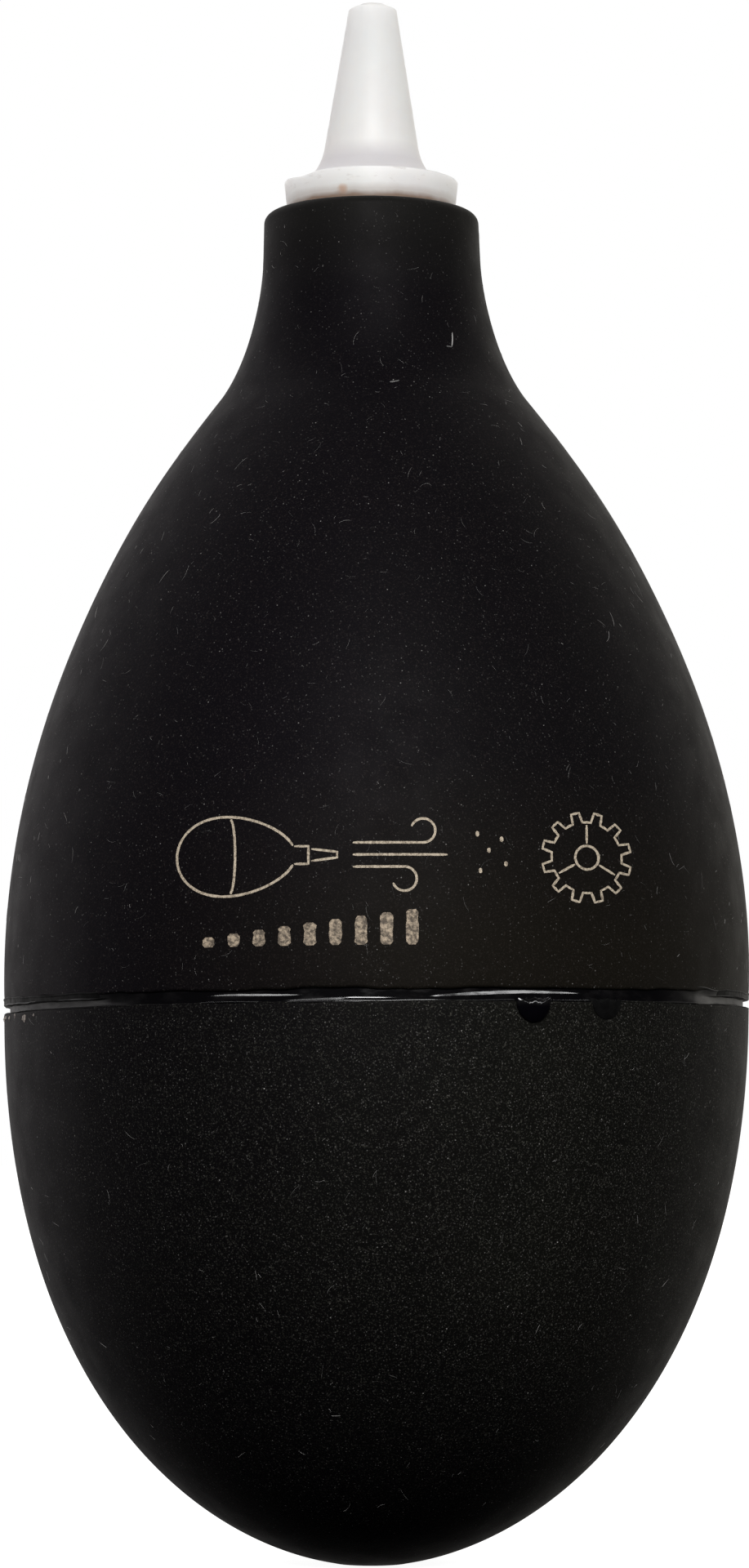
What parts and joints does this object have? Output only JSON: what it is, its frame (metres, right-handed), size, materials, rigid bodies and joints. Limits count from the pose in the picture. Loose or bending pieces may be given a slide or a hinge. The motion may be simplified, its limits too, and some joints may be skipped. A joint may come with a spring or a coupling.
{
  "type": "dust blower bulb",
  "caption": "Egg-shaped black rubber squeeze bulb, bonded round its widest part, with a white plastic nozzle in its neck and one-way valves in the nozzle and base.",
  "frame": {"origin": "on the bulb's axis in the plane of the bonded seam, where a hand holds it", "axes": "+Z along the bulb's axis, towards the nozzle; the runs of cement lie towards -Y and +X"},
  "size_m": [0.056, 0.056, 0.1183],
  "materials": {
    "black_rubber": "matte moulded",
    "black_cement": "gloss",
    "white_plastic": "satin, slightly translucent",
    "valve_plastic": "satin",
    "flap_rubber": "smooth",
    "screen_metal": "etched",
    "spring_steel": "polished"
  },
  "bodies": {
    "bulb": {"upper_shell": "black_rubber", "lower_shell": "black_rubber", "seam_cement": "black_cement", "cement_drips": "black_cement"},
    "nozzle": {"nozzle": "white_plastic", "outlet_seat": "valve_plastic"},
    "outlet_flap": {"outlet_flap": "flap_rubber"},
    "inlet": {"inlet_body": "valve_plastic", "inlet_screen": "screen_metal", "inlet_cap": "valve_plastic", "inlet_spring": "spring_steel"},
    "inlet_ball": {"inlet_ball": "spring_steel"}
  },
  "joints": [
    {"name": "squeeze", "type": "slide", "parent": "bulb", "child": "inlet", "axis": [0, 0, 1], "range_m": [0, 0.012], "stiffness_N_per_m": 1200, "deforming": ["lower_shell"]},
    {"name": "inlet_lift", "type": "slide", "parent": "inlet", "child": "inlet_ball", "axis": [0, 0, 1], "range_m": [0, 0.0012], "stiffness_N_per_m": 20, "springref_m": -0.0005, "deforming": ["inlet_spring"]},
    {"name": "nozzle_pull", "type": "slide", "parent": "bulb", "child": "nozzle", "axis": [0, 0, 1], "range_m": [0, 0.014]},
    {"name": "outlet_lift", "type": "slide", "parent": "nozzle", "child": "outlet_flap", "axis": [0, 0, 1], "range_m": [0, 0.0008]}
  ]
}
